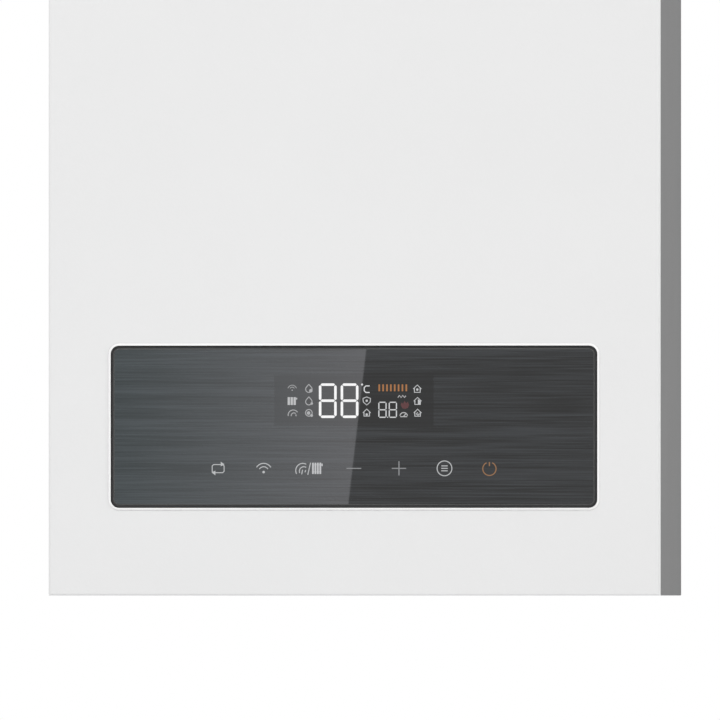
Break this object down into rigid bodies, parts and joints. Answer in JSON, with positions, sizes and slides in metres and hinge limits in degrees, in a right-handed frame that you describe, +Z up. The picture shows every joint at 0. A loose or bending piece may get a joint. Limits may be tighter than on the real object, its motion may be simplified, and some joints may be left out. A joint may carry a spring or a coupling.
{
  "type": "wall-hung central heating boiler",
  "caption": "Flat white wall-hung combination boiler with a wide dark glass control panel, room-sealed flue and pipe connections underneath.",
  "frame": {"origin": "middle of the wall bracket's back face, on the wall", "axes": "+Z up, +Y into the wall, so the front cover faces -Y; +X to the right seen from the front"},
  "size_m": [0.4, 0.3209, 0.775],
  "materials": {
    "white_coat": "satin white powder coat",
    "grey_coat": "satin mid-grey powder coat",
    "white_plastic": "smooth white",
    "grey_plastic": "fine texture",
    "black_plastic": "fine texture",
    "red_plastic": "smooth",
    "blue_plastic": "smooth",
    "dark_glass": "glossy, backed by brushed dark film with lit symbols",
    "clear_glass": "clear",
    "zinc_steel": "zinc-coated sheet",
    "steel": "plain",
    "aluminium": "cast, satin",
    "cast_iron": "black cataphoretic coat",
    "brass": "machined and cast brass",
    "copper": "copper tube, a little tarnished",
    "red_paint": "satin red paint",
    "ceramic": "glazed ceramic",
    "fibre": "pressed ceramic fibre",
    "rubber": "matt",
    "silicone": "translucent grey",
    "board_green": "soldermask"
  },
  "bodies": {
    "wall_bracket": {"wall_bracket": "zinc_steel"},
    "chassis": {"rear_frame": "zinc_steel", "side_panel_left": "grey_coat", "side_panel_right": "grey_coat", "top_panel": "grey_coat", "bottom_plate": "zinc_steel", "cover_rail": "zinc_steel", "cover_screw_left": "zinc_steel", "cover_screw_right": "zinc_steel", "air_chamber": "zinc_steel", "chamber_seal": "rubber", "chamber_lid": "zinc_steel", "sight_glass": "clear_glass", "firebox": "zinc_steel", "insulation": "fibre", "burner": "steel", "gas_rail": "aluminium", "ignition_electrode": "ceramic", "flame_electrode": "ceramic", "heat_exchanger": "copper", "limit_thermostat": "black_plastic", "flue_hood": "zinc_steel", "fan_housing": "aluminium", "fan_motor": "black_plastic", "flue_inner": "aluminium", "flue_collar": "white_coat", "flue_gasket": "rubber", "pressure_switch": "white_plastic", "pressure_tube": "silicone", "flow_group": "brass", "diverter_actuator": "black_plastic", "relief_valve": "brass", "water_pressure_sensor": "black_plastic", "plate_exchanger": "steel", "pump_housing": "cast_iron", "pump_motor": "grey_plastic", "air_vent": "brass", "flow_sensor": "brass", "hot_water_pipe": "copper", "flow_pipe": "copper", "return_pipe": "copper", "gas_valve": "aluminium", "gas_pipe": "steel", "expansion_vessel": "red_paint", "vessel_hose": "rubber", "fill_valve": "brass", "cable_gland": "black_plastic"},
    "front_cover": {"front_cover": "white_coat", "window_ring": "white_plastic"},
    "control_unit": {"control_glass": "dark_glass", "control_tray": "black_plastic", "display_board": "board_green", "main_board": "board_green", "control_box": "black_plastic"},
    "fan_rotor": {"fan_wheel": "zinc_steel"},
    "pump_rotor": {"pump_rotor": "steel"},
    "flow_turbine": {"flow_turbine": "white_plastic"},
    "diverter_stem": {"diverter_stem": "steel"},
    "relief_knob": {"relief_knob": "red_plastic"},
    "fill_knob": {"fill_knob": "blue_plastic"}
  },
  "joints": [
    {"name": "hang_lift", "type": "slide", "parent": "wall_bracket", "child": "chassis", "axis": [0, 0, 1], "range_m": [0, 0.03]},
    {"name": "front_cover_pull", "type": "slide", "parent": "chassis", "child": "front_cover", "axis": [0, -1, 0], "range_m": [0, 0.4]},
    {"name": "control_tilt", "type": "hinge", "parent": "chassis", "child": "control_unit", "pos_m": [0, -0.3144, -0.57348], "axis": [1, 0, 0], "range_deg": [0, 90]},
    {"name": "fan_spin", "type": "hinge", "parent": "chassis", "child": "fan_rotor", "pos_m": [-0.0235, -0.19, -0.0118], "axis": [0, 1, 0], "continuous": true},
    {"name": "pump_spin", "type": "hinge", "parent": "chassis", "child": "pump_rotor", "pos_m": [0.13, -0.12, -0.52], "axis": [0, 1, 0], "continuous": true},
    {"name": "flow_turbine_spin", "type": "hinge", "parent": "chassis", "child": "flow_turbine", "pos_m": [0.065, -0.095, -0.559], "axis": [0, 0, 1], "continuous": true},
    {"name": "diverter_stem_slide", "type": "slide", "parent": "chassis", "child": "diverter_stem", "axis": [0, -1, 0], "range_m": [0, 0.008]},
    {"name": "relief_knob_turn", "type": "hinge", "parent": "chassis", "child": "relief_knob", "pos_m": [-0.13, -0.16, -0.568], "axis": [0, 1, 0], "range_deg": [0, 90]},
    {"name": "fill_knob_turn", "type": "hinge", "parent": "chassis", "child": "fill_knob", "pos_m": [0.0975, -0.15, -0.626], "axis": [0, 0, 1], "range_deg": [0, 360]}
  ]
}
